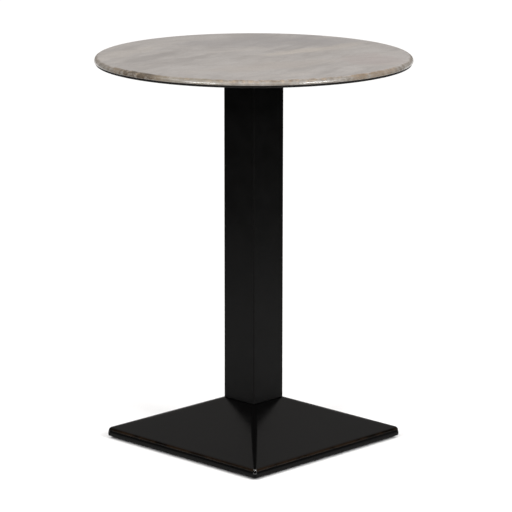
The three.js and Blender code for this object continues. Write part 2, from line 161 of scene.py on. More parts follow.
def rounded_square(half, corner, steps):
    """Points round a square with rounded corners, anticlockwise."""
    outline = []
    for side in range(4):
        start = side * math.pi / 2
        diagonal = start + math.pi / 4
        centre = Vector((math.cos(diagonal), math.sin(diagonal))) * (half - corner) * math.sqrt(2)
        for step in range(steps + 1):
            angle = start + step / steps * math.pi / 2
            outline.append((centre.x + corner * math.cos(angle), centre.y + corner * math.sin(angle)))
    return outline


def square_loft(name, levels, steps):
    """Solid through a stack of rounded squares; levels are (half, corner, height) from the bottom up."""
    rings = [[(x, y, z) for x, y in rounded_square(half, corner, steps)] for half, corner, z in levels]
    points = [point for ring in rings for point in ring]
    count = len(rings[0])
    faces = [list(range(count))[::-1], [count * (len(rings) - 1) + i for i in range(count)]]
    for row in range(len(rings) - 1):
        for i in range(count):
            after = (i + 1) % count
            corners = [row * count + i, row * count + after]
            faces.append(corners + [(row + 1) * count + after, (row + 1) * count + i])
    return new_mesh(name, points, faces)


def prism(name, outline, bottom, top):
    """Upright prism of a flat outline of (x, y) points."""
    count = len(outline)
    points = [(x, y, bottom) for x, y in outline] + [(x, y, top) for x, y in outline]
    faces = [list(range(count))[::-1], list(range(count, 2 * count))]
    faces += [[i, (i + 1) % count, count + (i + 1) % count, count + i] for i in range(count)]
    return new_mesh(name, points, faces)


def hexagon(across_flats):
    radius = across_flats / math.sqrt(3)
    return [(radius * math.cos(k * math.pi / 3), radius * math.sin(k * math.pi / 3)) for k in range(6)]


def moved(mesh, matrix):
    mesh.transform(matrix)
    return mesh


def copy_of(mesh, offset):
    twin = mesh.copy()
    twin.transform(Matrix.Translation(offset))
    return twin


def join_or_cut(mesh, others, operation):
    """mesh joined with, cut by or limited to each of the other meshes, which are used up."""
    target = put_in_scene("target", mesh)
    tools = []
    for other in others:
        tool = put_in_scene("tool", other)
        boolean = target.modifiers.new("boolean", "BOOLEAN")
        boolean.operation = operation
        boolean.solver = "MANIFOLD"
        boolean.object = tool
        tools.append(tool)
    bpy.context.view_layer.update()
    made = bpy.data.meshes.new_from_object(target.evaluated_get(bpy.context.evaluated_depsgraph_get()))
    made.name = mesh.name
    for thing in [target] + tools:
        old = thing.data
        bpy.data.objects.remove(thing)
        bpy.data.meshes.remove(old)
    return made


def union(mesh, *others):
    return join_or_cut(mesh, others, "UNION")


def cut(mesh, *others):
    return join_or_cut(mesh, others, "DIFFERENCE")


def common(mesh, other):
    return join_or_cut(mesh, [other], "INTERSECT")


def finish_piece(node, mesh, material, smooth_below, bevel=0.0):
    """Puts a mesh in the scene in place of a CAD node: smooth, edges broken, riding on its body."""
    mesh.name = node + "_look"
    mesh.materials.clear()
    mesh.materials.append(material)
    mesh.shade_smooth()
    mesh.set_sharp_from_angle(angle=math.radians(smooth_below))
    piece = put_in_scene(mesh.name, mesh)
    if bevel:
        edge = piece.modifiers.new("edge", "BEVEL")
        edge.width = bevel
        edge.segments = 3
        edge.limit_method = "ANGLE"
        edge.angle_limit = math.radians(smooth_below)
    weighted = piece.modifiers.new("weighted_normals", "WEIGHTED_NORMAL")
    weighted.keep_sharp = True
    weighted.weight = 80
    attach(piece, BODY[node])
    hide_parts(node)
    return piece


def recoat(piece, index, material, low, high, beyond=0.0):
    """Gives the faces between two heights, and beyond a distance in both X and Y, another material."""
    piece.data.materials.append(material)
    for polygon in piece.data.polygons:
        centre = polygon.center
        if low < centre.z < high and min(abs(centre.x), abs(centre.y)) >= beyond:
            polygon.material_index = index


# ---------------------------------------------------------------- material building

class Nodes:
    """Short names for the shader nodes that the materials below are made of."""

    def __init__(self, name):
        self.material = bpy.data.materials.new(name)
        self.material.use_nodes = True
        self.tree = self.material.node_tree
        self.tree.nodes.clear()
        self.shader = self.tree.nodes.new("ShaderNodeBsdfPrincipled")
        output = self.tree.nodes.new("ShaderNodeOutputMaterial")
        self.tree.links.new(self.shader.outputs["BSDF"], output.inputs["Surface"])
        self.place = self.tree.nodes.new("ShaderNodeTexCoord").outputs["Object"]

    def feed(self, socket, value):
        if isinstance(value, bpy.types.NodeSocket):
            self.tree.links.new(value, socket)
        else:
            socket.default_value = value

    def math(self, operation, a, b=0.0):
        node = self.tree.nodes.new("ShaderNodeMath")
        node.operation = operation
        self.feed(node.inputs[0], a)
        self.feed(node.inputs[1], b)
        return node.outputs[0]

    def vector(self, operation, a, b=(0, 0, 0)):
        node = self.tree.nodes.new("ShaderNodeVectorMath")
        node.operation = operation
        self.feed(node.inputs[0], a)
        self.feed(node.inputs[1], b)
        is_number = operation in ("LENGTH", "DISTANCE", "DOT_PRODUCT")
        return node.outputs["Value"] if is_number else node.outputs[0]

    def along(self, place, degrees, length, width):
        """A place measured along and across a level direction, in lengths and widths of a streak."""
        node = self.tree.nodes.new("ShaderNodeMapping")
        node.vector_type = "TEXTURE"
        self.feed(node.inputs["Vector"], place)
        node.inputs["Rotation"].default_value = (0, 0, math.radians(degrees))
        node.inputs["Scale"].default_value = (length, width, width)
        return node.outputs[0]

    def noise(self, scale, detail=4.0, roughness=0.55, place=None):
        node = self.tree.nodes.new("ShaderNodeTexNoise")
        self.feed(node.inputs["Vector"], place or self.place)
        node.inputs["Scale"].default_value = scale
        node.inputs["Detail"].default_value = detail
        node.inputs["Roughness"].default_value = roughness
        return node.outputs[0]

    def colour_noise(self, scale, detail):
        """Noise in three directions at once."""
        node = self.tree.nodes.new("ShaderNodeTexNoise")
        self.feed(node.inputs["Vector"], self.place)
        node.inputs["Scale"].default_value = scale
        node.inputs["Detail"].default_value = detail
        return node.outputs["Color"]

    def span(self, value, low, high, to_low=0.0, to_high=1.0):
        """value's stretch from low to high mapped smoothly to another, and held beyond it."""
        node = self.tree.nodes.new("ShaderNodeMapRange")
        node.interpolation_type = "SMOOTHSTEP"
        self.feed(node.inputs["Value"], value)
        node.inputs["From Min"].default_value = low
        node.inputs["From Max"].default_value = high
        node.inputs["To Min"].default_value = to_low
        node.inputs["To Max"].default_value = to_high
        return node.outputs[0]

    def mix(self, factor, a, b, blend="MIX"):
        node = self.tree.nodes.new("ShaderNodeMix")
        node.data_type = "RGBA"
        node.blend_type = blend
        self.feed(node.inputs["Factor"], factor)
        self.feed(node.inputs["A"], a if isinstance(a, bpy.types.NodeSocket) else (*a, 1))
        self.feed(node.inputs["B"], b if isinstance(b, bpy.types.NodeSocket) else (*b, 1))
        return node.outputs["Result"]

    def height_and_across(self):
        """Height above the floor, and distance from the table's axis."""
        node = self.tree.nodes.new("ShaderNodeSeparateXYZ")
        self.feed(node.inputs[0], self.place)
        flat = self.vector("MULTIPLY", self.place, (1, 1, 0))
        return node.outputs["Z"], self.vector("LENGTH", flat)

    def out_to_side(self):
        """Distance from the table's axis, measured square to the nearest side of the base."""
        node = self.tree.nodes.new("ShaderNodeSeparateXYZ")
        self.feed(node.inputs[0], self.vector("ABSOLUTE", self.place))
        return self.math("MAXIMUM", node.outputs["X"], node.outputs["Y"])

    def bump(self, height, distance, strength=1.0):
        node = self.tree.nodes.new("ShaderNodeBump")
        node.inputs["Strength"].default_value = strength
        node.inputs["Distance"].default_value = distance
        self.feed(node.inputs["Height"], height)
        self.feed(self.shader.inputs["Normal"], node.outputs["Normal"])

    def surface(self, colour, roughness, metallic=0.0, specular=0.5):
        self.feed(self.shader.inputs["Base Color"], colour)
        self.feed(self.shader.inputs["Roughness"], roughness)
        self.shader.inputs["Metallic"].default_value = metallic
        self.shader.inputs["Specular IOR Level"].default_value = specular
        return self.material


def seen_from_front(right, away):
    """A point of the tabletop given as its distances to the right of and beyond the table's axis."""
    turn = Matrix.Rotation(CAMERA_AZIMUTH, 3, "Z")
    return turn @ Vector((right, away, table_height))


# ---------------------------------------------------------------- materials

OUTSIDE_LINE = 194 * MM  # between the casting's hollow and its outer side, at the shoulder
# heights between which the shoulder's painted reflection, a thin warm line, comes in, and between which
# it goes
REFLECTION_LINE_RISE = (15.0 * MM, 17.5 * MM)
REFLECTION_LINE_FALL = (18.8 * MM, 22.0 * MM)


def stone_decor(name, dull, gloss, specular):
    """Printed decor: warm grey stone, slanting streaks, a rim darkened by painted shade and mottled with
    brown.
    """
    n = Nodes(name)
    height, across = n.height_and_across()
    facing = math.degrees(CAMERA_AZIMUTH)
    wander = n.vector("SUBTRACT", n.colour_noise(6, 4), (0.5, 0.5, 0.5))
    place = n.vector("ADD", n.place, n.vector("MULTIPLY", wander, (0.09, 0.09, 0)))

    clouds = n.span(n.noise(9, 6, 0.62, place), 0.32, 0.68)
    grey = n.mix(clouds, (0.320, 0.300, 0.285), (0.372, 0.353, 0.337))

    def streaks(degrees, length, width, low, high, strength, colour):
        """Cloudy streaks that run at an angle to the front view's right-hand direction."""
        cloudy = n.noise(1, 6, 0.66, n.along(place, facing + degrees, length, width))
        return n.mix(n.span(cloudy, low, high, 0.0, strength), grey, colour)

    grey = streaks(58, 0.20, 0.030, 0.48, 0.66, 0.42, (0.222, 0.207, 0.197))
    grey = streaks(64, 0.12, 0.010, 0.50, 0.66, 0.30, (0.235, 0.216, 0.202))
    grey = streaks(40, 0.24, 0.040, 0.50, 0.68, 0.42, (0.430, 0.398, 0.366))

    def patch(right, away, length, width, strength, colour, degrees=0):
        """A soft slanting patch of another shade, its edge broken up by noise."""
        centred = n.vector("SUBTRACT", place, tuple(seen_from_front(right, away)))
        distance = n.vector("LENGTH", n.along(centred, facing + degrees, length, width))
        ragged = n.math("ADD", distance, n.span(n.noise(16, 5, 0.6), 0.3, 0.7, -0.35, 0.35))
        return n.mix(n.span(ragged, 0.45, 1.25, strength, 0.0), grey, colour)

    grey = patch(0.00, 0.19, 0.15, 0.075, 0.60, (0.262, 0.249, 0.247), 20)
    grey = patch(0.11, 0.15, 0.10, 0.055, 0.60, (0.255, 0.243, 0.242), 25)
    grey = patch(0.08, 0.05, 0.09, 0.024, 0.75, (0.420, 0.382, 0.340), 40)
    grey = patch(0.16, 0.10, 0.08, 0.022, 0.55, (0.400, 0.366, 0.330), 48)
    grey = patch(-0.20, -0.03, 0.09, 0.022, 0.62, (0.228, 0.214, 0.205), 50)
    grey = patch(-0.13, -0.06, 0.07, 0.022, 0.60, (0.240, 0.224, 0.214), 48)
    grey = patch(-0.25, 0.03, 0.09, 0.028, 0.60, (0.410, 0.380, 0.348), 50)
    grey = patch(0.03, -0.12, 0.16, 0.045, 0.50, (0.375, 0.340, 0.308), 35)
    grey = patch(0.22, -0.05, 0.07, 0.060, 0.45, (0.345, 0.292, 0.280), 30)

    wisps = n.noise(1, 6, 0.72, n.along(place, facing + 12, 0.060, 0.014))
    grey = n.mix(n.span(wisps, 0.46, 0.62, 0.0, 0.30), grey, (0.262, 0.238, 0.222))
    grey = n.mix(n.span(wisps, 0.40, 0.30, 0.0, 0.30), grey, (0.430, 0.400, 0.372))
    grain = n.noise(300, 4, 0.75)
    grey = n.mix(n.span(grain, 0.38, 0.62, 0.0, 0.34), grey, (0.225, 0.204, 0.188))
    speck = n.span(n.noise(150, 2, 0.5), 0.735, 0.765)
    grey = n.mix(n.math("MULTIPLY", speck, 0.55), grey, (0.100, 0.085, 0.070))

    # Over the rim the pattern is darkened as painted shade of the rounded rim, and speckled brown where
    # it starts to curve.
    ragged = n.span(n.noise(60, 5, 0.65), 0.3, 0.7, -1.6 * MM, 1.6 * MM)
    edge = n.math("ADD", across, ragged)
    rim_painted_shade = n.span(edge, top_radius - 7.5 * MM, top_radius - 3.5 * MM)
    shade = n.mix(n.span(n.noise(75, 5, 0.7), 0.38, 0.62), (0.46, 0.44, 0.40), (0.70, 0.69, 0.66))
    grey = n.mix(rim_painted_shade, grey, n.mix(1.0, grey, shade, "MULTIPLY"))
    start = n.span(edge, top_radius - 9.2 * MM, top_radius - 6.0 * MM)
    falling = n.math("ADD", height, ragged)
    above = n.span(falling, table_height - 4.5 * MM, table_height - 2.2 * MM, 0.10, 1.0)
    blotch = n.span(n.noise(120, 5, 0.72), 0.42, 0.56, 0.15, 1.0)
    to_right = seen_from_front(1, 0)
    sideways = n.math("ABSOLUTE", n.vector("DOT_PRODUCT", n.place, (to_right.x, to_right.y, 0)))
    blotch = n.math("MULTIPLY", blotch, n.span(sideways, top_radius * 0.75, top_radius * 0.95, 1.0, 0.25))
    brown = n.mix(n.span(n.noise(170, 4, 0.7), 0.38, 0.62), (0.115, 0.074, 0.040), (0.300, 0.225, 0.150))
    speckled = n.math("MULTIPLY", n.math("MULTIPLY", start, above), blotch)
    grey = n.mix(n.math("MULTIPLY", speckled, 0.60), grey, brown)

    def stain(angle, half_width, strength, colour, depth):
        """A stretch of the rim where the mottling is stronger and reaches further in."""
        middle = seen_from_front(top_radius * math.sin(angle), -top_radius * math.cos(angle))
        apart = n.vector("DISTANCE", n.place, tuple(middle))
        near = n.span(apart, half_width * 0.5, half_width, 1.0, 0.0)
        reach = n.span(edge, top_radius - depth, top_radius - depth * 0.6)
        spots = n.span(n.noise(80, 5, 0.75), 0.40, 0.55)
        factor = n.math("MULTIPLY", n.math("MULTIPLY", near, reach), spots)
        return n.mix(n.math("MULTIPLY", factor, strength), grey, colour)

    grey = stain(math.radians(-46), 0.100, 0.70, (0.140, 0.103, 0.067), 11 * MM)
    grey = stain(math.radians(-46), 0.060, 0.80, (0.052, 0.040, 0.028), 12.5 * MM)
    grey = stain(math.radians(-22), 0.090, 0.45, (0.165, 0.148, 0.112), 10 * MM)
    grey = stain(math.radians(48), 0.085, 0.32, (0.250, 0.165, 0.105), 9 * MM)
    grey = stain(math.radians(44), 0.070, 0.30, (0.125, 0.105, 0.078), 6.5 * MM)

    roughness = n.span(n.noise(18, 4), 0.3, 0.7, gloss, dull)
    n.bump(n.math("ADD", n.noise(260, 4, 0.6), n.math("MULTIPLY", n.noise(40, 3), 0.6)), 0.00006, 0.6)
    return n.surface(grey, roughness, specular=specular)


def moulded_core():
    """Pressed wood fibre, sealed black, with the fine pebbling of the press."""
    n = Nodes("moulded_core")
    fibres = n.noise(1, 5, 0.7, n.along(n.place, 20, 0.011, 0.0022))
    colour = n.mix(n.span(fibres, 0.35, 0.7), (0.0028, 0.0026, 0.0023), (0.0085, 0.0072, 0.0058))
    roughness = n.span(n.noise(60, 4), 0.3, 0.7, 0.48, 0.62)
    n.bump(n.math("ADD", n.noise(520, 3, 0.6), fibres), 0.00012, 0.5)
    return n.surface(colour, roughness, specular=0.12)


def powder_coat(name, shade, peel_scale, peel_depth, low, high, specular, painted_reflection_line=False):
    """Black powder coat with orange peel; low and high are the limits of its clouded roughness."""
    n = Nodes(name)
    clouds = n.span(n.noise(9, 4, 0.6), 0.3, 0.7)
    dark = (0.8 * shade, 0.8 * shade, 0.75 * shade)
    light = (1.2 * shade, 1.15 * shade, 1.1 * shade)
    colour = n.mix(clouds, dark, light)
    fleck = n.span(n.noise(1400, 2, 0.5), 0.60, 0.75)
    colour = n.mix(n.math("MULTIPLY", fleck, 0.4), colour, (2.8 * shade, 2.7 * shade, 2.6 * shade))
    if painted_reflection_line:
        # painted reflection: a warm line along the top of the shoulder, put in as colour
        height, _ = n.height_and_across()
        rising = n.span(height, *REFLECTION_LINE_RISE)
        falling = n.span(height, *REFLECTION_LINE_FALL, 1.0, 0.0)
        patchy = n.span(n.noise(16, 4, 0.6), 0.42, 0.58, 0.15, 1.0)
        outside = n.span(n.out_to_side(), OUTSIDE_LINE, OUTSIDE_LINE + 0.5 * MM)
        band = n.math("MULTIPLY", rising, falling)
        line = n.math("MULTIPLY", band, n.math("MULTIPLY", patchy, outside))
        colour = n.mix(line, colour, (0.0112, 0.0064, 0.0034))
    roughness = n.span(n.noise(26, 5, 0.6), 0.3, 0.7, low, high)
    peel = n.noise(peel_scale, 2, 0.45)
    n.bump(n.math("ADD", peel, n.math("MULTIPLY", n.noise(peel_scale * 3.1, 2), 0.35)), peel_depth, 0.7)
    return n.surface(colour, roughness, specular=specular)


def zinc_plate():
    """Bright zinc over steel: faint bluish and yellowish clouds, duller where it was handled."""
    n = Nodes("zinc_plate")
    clouds = n.noise(160, 4, 0.6)
    colour = n.mix(clouds, (0.50, 0.52, 0.55), (0.66, 0.64, 0.58))
    stain = n.span(n.noise(420, 4, 0.65), 0.55, 0.72)
    colour = n.mix(n.math("MULTIPLY", stain, 0.35), colour, (0.33, 0.32, 0.30))
    roughness = n.span(n.noise(240, 4), 0.3, 0.7, 0.26, 0.44)
    n.bump(n.noise(1800, 3), 0.00003, 0.5)
    return n.surface(colour, roughness, metallic=1.0)


def black_nylon():
    """Moulded nylon, spark-eroded texture, scuffed paler where it touches the floor."""
    n = Nodes("black_nylon")
    height, _ = n.height_and_across()
    touching = n.span(height, 0.0004, 0.0016, 1.0, 0.0)
    scuffed = n.math("MULTIPLY", touching, n.span(n.noise(700, 4, 0.7), 0.4, 0.6))
    colour = n.mix(n.noise(300, 3), (0.013, 0.013, 0.0135), (0.021, 0.021, 0.0215))
    colour = n.mix(n.math("MULTIPLY", scuffed, 0.6), colour, (0.065, 0.063, 0.060))
    roughness = n.span(n.noise(500, 3), 0.3, 0.7, 0.5, 0.68)
    n.bump(n.noise(2600, 2), 0.00004, 0.7)
    return n.surface(colour, roughness, specular=0.4)


def pale_floor():
    """Matt white studio floor with a trace of unevenness."""
    n = Nodes("pale_floor")
    colour = n.mix(n.noise(1.5, 3), (0.90, 0.90, 0.90), (0.93, 0.93, 0.93))
    return n.surface(colour, 1.0, specular=0.0)


def black_cloth():
    n = Nodes("black_cloth")
    colour = n.mix(n.noise(40, 3), (0.002, 0.002, 0.002), (0.004, 0.004, 0.004))
    return n.surface(colour, 1.0, specular=0.0)


# ---------------------------------------------------------------- tabletop

RIM_WIDTH = 9 * MM
RIM_DROP = 8 * MM
LAMINATE = 1.2 * MM
LAYER_GAP = 0.3 * MM
LIP_RADIUS = top_radius - 1.6 * MM
POLISHED_DEPTH = 3.2 * MM  # drawing the sheet over the rim leaves it glossier from here down
TOP_SIDES = 288


def rim_curve(inset, steps):
    """The rim's rounding, from its widest point up to the flat."""
    curve = []
    for step in range(steps + 1):
        angle = step / steps * math.pi / 2
        radius = top_radius - RIM_WIDTH + (RIM_WIDTH - inset) * math.cos(angle)
        curve.append((radius, table_height - RIM_DROP + (RIM_DROP - inset) * math.sin(angle)))
    return curve


def flat_rings(outer, height, inwards):
    """Points across a flat face, so that it is made of rings and not of long slivers."""
    radii = [outer * share for share in (0, 0.08, 0.25, 0.45, 0.65, 0.82, 0.93, 0.98)]
    rings = [(radius, height) for radius in radii]
    return rings[::-1] if inwards else rings


def build_decor(material, rim_material):
    lip = decor_low[2]
    outline = flat_rings(top_radius - RIM_WIDTH, table_height - LAMINATE, False)
    outline += rim_curve(LAMINATE, 8)[::-1]
    outline += [(LIP_RADIUS - 0.2 * MM, lip + 0.3 * MM), (LIP_RADIUS, lip)]
    outline += [(top_radius - 0.9 * MM, lip + 0.12 * MM), (top_radius - 0.3 * MM, lip + 0.5 * MM)]
    outline += rim_curve(0, 16) + flat_rings(top_radius - RIM_WIDTH, table_height, True)
    decor = finish_piece("tabletop_decor", lathe("decor", outline, TOP_SIDES), material, 40)
    recoat(decor, 1, rim_material, 0, table_height - POLISHED_DEPTH)


SCREW_REACHES = (114 * MM, 138 * MM)
PILOT_RADIUS = 2.8 * MM
PILOT_DEPTH = 10 * MM


def screw_places():
    """Where the spider's screws stand, two in each arm."""
    turns = [Matrix.Rotation(arm * math.pi / 2, 3, "Z") for arm in range(4)]
    return [turn @ Vector((reach, 0, 0)) for turn in turns for reach in SCREW_REACHES]


def build_core(material):
    bottom = core_low[2]
    flat = core_high[0] - 3.1 * MM
    shoulder = decor_low[2] - LAYER_GAP
    outline = flat_rings(flat, bottom, False)
    outline += [(flat, bottom), (flat + 0.9 * MM, bottom + 0.25 * MM)]
    outline += [(flat + 1.7 * MM, bottom + 0.8 * MM), (LIP_RADIUS - 1.2 * MM, shoulder - 1.2 * MM)]
    outline += [(LIP_RADIUS - 0.65 * MM, shoulder - 0.3 * MM), (LIP_RADIUS - 0.8 * MM, shoulder)]
    outline += rim_curve(LAMINATE + LAYER_GAP, 8)
    outline += flat_rings(top_radius - RIM_WIDTH, core_high[2], True)
    core = lathe("core", outline, TOP_SIDES)
    drill = [(0, bottom - MM), (PILOT_RADIUS, bottom - MM)]
    drill += [(PILOT_RADIUS, bottom + PILOT_DEPTH), (0, bottom + PILOT_DEPTH + MM)]
    pilots = [lathe("pilot", drill, 20, place) for place in screw_places()]
    finish_piece("tabletop_core", cut(core, *pilots), material, 40)


# ---------------------------------------------------------------- column

COLUMN_WALL = 3 * MM
COLUMN_CORNER = 2 * MM


def build_column(material):
    half = column_high[0]
    bottom, top = column_low[2], column_high[2]
    edge = 0.5 * MM
    middle = [bottom + (top - bottom) * share for share in (0.02, 0.25, 0.5, 0.75, 0.98)]
    outside = [(half - edge, COLUMN_CORNER - edge, bottom), (half, COLUMN_CORNER, bottom + edge)]
    outside += [(half, COLUMN_CORNER, height) for height in middle]
    outside += [(half, COLUMN_CORNER, top - edge), (half - edge, COLUMN_CORNER - edge, top)]
    inner = half - COLUMN_WALL
    inside = [(inner, 1.0 * MM, bottom - MM), (inner, 1.0 * MM, top + MM)]
    tube = cut(square_loft("tube", outside, 8), square_loft("bore", inside, 6))
    finish_piece("column", tube, material, 50)


# ---------------------------------------------------------------- base

BASE_CORNER = 4.5 * MM
# rounding of the ridges in mm, at shares of the way up a face
RIDGE_CORNERS = ((0.02, 5.5), (0.12, 7), (0.3, 8.5), (0.5, 9), (0.75, 8.5), (0.98, 7), (1, 7))
RIM_HEIGHT = 10.2 * MM
RIM_CURVE = 30 * MM
SHOULDER_TILT = math.radians(15)
SHOULDER_RADIUS = 6 * MM
FACE_SLOPE = math.radians(21.35)
SHOULDER_LINE = 15.6 * MM  # the coat is duller below this height
RIM_LINE = 11.8 * MM  # and catches a little more light again below this one
CORNER_LINE = 20.5 * MM  # the corners are rubbed bright up to this height
PLATEAU_HALF = 41.75 * MM
CASTING_WALL = 6.5 * MM
PLATEAU_WALL = 10 * MM
HOLLOW_SHOULDER = 4.5 * MM
SPIGOT_WALL = 6 * MM
SPIGOT_SLACK = 0.8 * MM
HUB_RADIUS = 23 * MM
HUB_BOTTOM = 56 * MM
RIB_HALF = 3.5 * MM
ROD_HOLE = 6.6 * MM
ROD_DRILL_TOP = 100 * MM  # well above the base
FOOT_BOSS_RADIUS = 12 * MM
FOOT_BOSS_BOTTOM = 11.1 * MM
FOOT_HOLE = 4.3 * MM
FOOT_SKIN = 4 * MM
CORNER_STEPS = 10

base_half = base_high[0]
plateau = column_low[2] - LAYER_GAP
foot_offset = centre_of("foot_pad_1").x


def rim_outline():
    """Rim and shoulder as (distance, height) points: upright, leaning in, then rounded over."""
    outline = []
    for step in range(5):
        tilt = SHOULDER_TILT * step / 4
        distance = base_half - RIM_CURVE * (1 - math.cos(tilt))
        outline.append((distance, RIM_HEIGHT + RIM_CURVE * math.sin(tilt)))
    lean, shoulder = outline[-1]
    for step in range(1, 13):
        tilt = SHOULDER_TILT + (math.pi / 2 - FACE_SLOPE - SHOULDER_TILT) * step / 12
        distance = lean - SHOULDER_RADIUS * (math.cos(SHOULDER_TILT) - math.cos(tilt))
        rise = SHOULDER_RADIUS * (math.sin(tilt) - math.sin(SHOULDER_TILT))
        outline.append((distance, shoulder + rise))
    return outline


def face_height(distance):
    """Height of the pyramid's outer face at a distance from the axis."""
    shoulder_end, shoulder_top = rim_outline()[-1]
    return shoulder_top + (shoulder_end - distance) * math.tan(FACE_SLOPE)


def casting_outside():
    toe = base_low[2]
    levels = [(base_half - 1.2 * MM, BASE_CORNER - MM, toe)]
    for inset, rise in ((0.4, 0.4), (0.1, 1.2), (0, 2.4)):
        levels.append((base_half - inset * MM, BASE_CORNER, toe + rise * MM))
    levels += [(distance, BASE_CORNER, height) for distance, height in rim_outline()]
    start = levels[-1][0]
    foot = PLATEAU_HALF + 1.2 * MM
    for share, corner in RIDGE_CORNERS:
        at = start + (foot - start) * share
        levels.append((at, corner * MM, face_height(at)))
    # rounding from the face over to the flat
    for out, drop, corner in ((0.6, 0.28, 6.8), (0, 0.1, 6.5), (-0.7, 0.02, 5.9), (-1.4, 0, 5.3)):
        levels.append((PLATEAU_HALF + out * MM, corner * MM, plateau - drop * MM))
    return square_loft("casting", levels, CORNER_STEPS)


def casting_hollow():
    drop = CASTING_WALL / math.cos(FACE_SLOPE)
    ceiling = plateau - PLATEAU_WALL
    side = base_half - CASTING_WALL
    slope_start = side - HOLLOW_SHOULDER
    slope_end = slope_start - (ceiling - face_height(slope_start) + drop) / math.tan(FACE_SLOPE)
    outline = [(side, base_low[2] - MM), (side, RIM_HEIGHT)]
    outline += [(side - HOLLOW_SHOULDER / 3, RIM_HEIGHT + HOLLOW_SHOULDER)]
    outline += [(slope_start, face_height(slope_start) - drop), (slope_end, ceiling)]
    levels = [(half, BASE_CORNER / 2, height) for half, height in outline]
    return square_loft("hollow", levels, CORNER_STEPS)


def diagonal_rib(angle):
    """Upright rib from the hub to a foot boss, its lower edge falling towards the boss."""
    reach = foot_offset * math.sqrt(2)
    profile = [(0, HUB_BOTTOM + 6 * MM), (HUB_RADIUS + 12 * MM, HUB_BOTTOM - 4 * MM)]
    profile += [(reach - 12 * MM, FOOT_BOSS_BOTTOM + 4 * MM), (reach, FOOT_BOSS_BOTTOM + 4 * MM)]
    profile += [(reach, plateau - MM), (0, plateau - MM)]
    rib = prism("rib", profile, -RIB_HALF, RIB_HALF)
    return moved(rib, Matrix.Rotation(angle, 4, "Z") @ Matrix.Rotation(math.pi / 2, 4, "X"))


def square_ring(bottom, top, half, wall):
    """Spigot that centres the column, its upper and lower edges broken."""
    edge = 0.8 * MM
    levels = [(half - edge, 2.2 * MM, bottom), (half, 3 * MM, bottom + edge)]
    levels += [(half, 3 * MM, top - edge), (half - edge, 2.2 * MM, top)]
    hollow = [(half - wall, 2 * MM, bottom - MM), (half - wall, 2 * MM, top + MM)]
    return cut(square_loft("spigot", levels, 4), square_loft("spigot_bore", hollow, 4))


def foot_places():
    return [centre_of(f"foot_pad_{number}") for number in (1, 2, 3, 4)]


def build_base(material, shoulder_material, rim_material, corner_material):
    outside = casting_outside()
    hub = lathe("hub", [(0, HUB_BOTTOM), (HUB_RADIUS - MM, HUB_BOTTOM), (HUB_RADIUS, HUB_BOTTOM + MM),
                        (HUB_RADIUS, plateau - 12 * MM), (HUB_RADIUS + 4 * MM, plateau - 9 * MM),
                        (HUB_RADIUS + 4 * MM, plateau - MM), (0, plateau - MM)], 64)
    inner = [diagonal_rib(math.pi / 4 + k * math.pi / 2) for k in range(4)]
    boss = [(0, FOOT_BOSS_BOTTOM), (FOOT_BOSS_RADIUS - 0.8 * MM, FOOT_BOSS_BOTTOM)]
    boss += [(FOOT_BOSS_RADIUS, FOOT_BOSS_BOTTOM + 0.8 * MM)]
    boss += [(FOOT_BOSS_RADIUS + 1.5 * MM, plateau), (0, plateau)]
    inner += [lathe("boss", boss, 48, place) for place in foot_places()]
    ribs = common(union(hub, *inner), outside.copy())
    casting = union(cut(outside, casting_hollow()), ribs)
    spigot_half = column_high[0] - COLUMN_WALL - SPIGOT_SLACK
    casting = union(casting, square_ring(plateau - MM, base_high[2], spigot_half, SPIGOT_WALL))
    rod_hole = [(0, 0), (ROD_HOLE, 0), (ROD_HOLE, ROD_DRILL_TOP), (0, ROD_DRILL_TOP)]
    drills = [lathe("rod_hole", rod_hole, 48)]
    blind = face_height(foot_offset) - FOOT_SKIN
    bore = [(0, 0), (FOOT_HOLE, 0), (FOOT_HOLE, blind - 2 * MM), (0, blind)]
    drills += [lathe("foot_hole", bore, 32, place) for place in foot_places()]
    base = finish_piece("base_casting", cut(casting, *drills), material, 32)
    recoat(base, 1, shoulder_material, 0, SHOULDER_LINE)
    recoat(base, 2, rim_material, 0, RIM_LINE)
    recoat(base, 3, corner_material, RIM_LINE, CORNER_LINE, base_half - 2 * BASE_CORNER)


# ---------------------------------------------------------------- spider

SPIDER_PLATE = 6 * MM
SPIDER_HUB_HALF = 46 * MM
SPIDER_HUB_CORNER = 8 * MM
SPIDER_BOSS_RADIUS = 20 * MM
ARM_ROOT = 22 * MM
ARM_TIP = 14 * MM
ARM_RIB = 4.5 * MM
ARM_RIB_REACH = 100 * MM
NUT_POCKET = 14.5 * MM
SCREW_HOLE = 3.2 * MM
DRILL_START = 600 * MM  # well below the spider


def spider_arm(angle):
    top = spider_high[2] - 0.001 * MM  # a hair under the hub's top, so the two faces never coincide
    reach = spider_high[0]
    tip = arc((reach - ARM_TIP, 0), ARM_TIP, -90, 90, 16)
    outline = [(0, -ARM_ROOT), *tip, (0, ARM_ROOT)]
    plate = prism("plate", outline, spider_high[2] - SPIDER_PLATE, top)
    return moved(plate, Matrix.Rotation(angle, 4, "Z"))


def spider_rib(angle, hub_bottom):
    top = spider_high[2] - MM
    profile = [(0, hub_bottom + MM), (SPIDER_HUB_HALF, hub_bottom + MM)]
    profile += [(ARM_RIB_REACH, spider_high[2] - SPIDER_PLATE), (ARM_RIB_REACH, top), (0, top)]
    rib = prism("rib", profile, -ARM_RIB, ARM_RIB)
    return moved(rib, Matrix.Rotation(angle, 4, "Z") @ Matrix.Rotation(math.pi / 2, 4, "X"))


